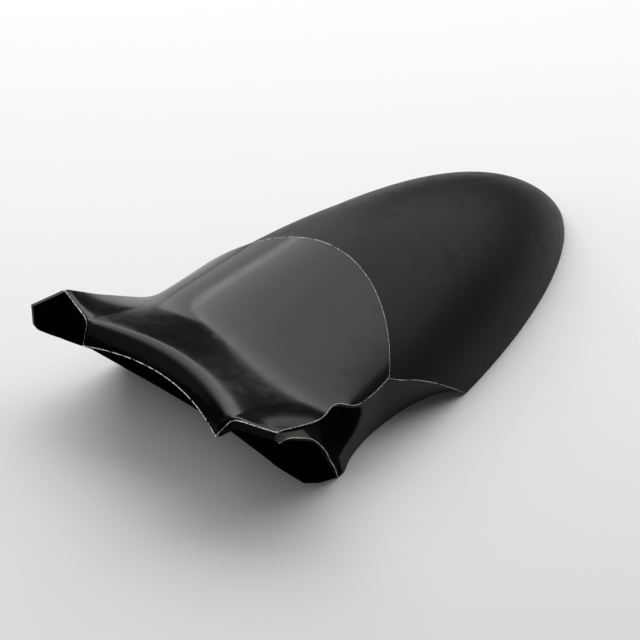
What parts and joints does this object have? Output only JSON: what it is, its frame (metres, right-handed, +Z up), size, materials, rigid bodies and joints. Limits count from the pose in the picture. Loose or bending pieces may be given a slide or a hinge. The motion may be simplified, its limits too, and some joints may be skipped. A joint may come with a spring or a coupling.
{
  "type": "motorcycle rear fender",
  "caption": "Black one-piece fibreglass motorcycle rear fender with a moulded solo seat pan, two flared front arms and a leaf-shaped crowned tail, trimmed edges raw and dusty.",
  "frame": {"origin": "on the floor under the middle of the fender, which rests on its trimmed lower edges", "axes": "+X toward the rider's left side, -Y toward the front of the motorcycle, +Z up"},
  "size_m": [0.376, 0.7493, 0.157],
  "materials": {
    "black_gelcoat": "black gelcoat, satin sheen, raw dusty trimmed edges"
  },
  "bodies": {
    "root": {"rear_fender": "black_gelcoat"}
  },
  "joints": []
}
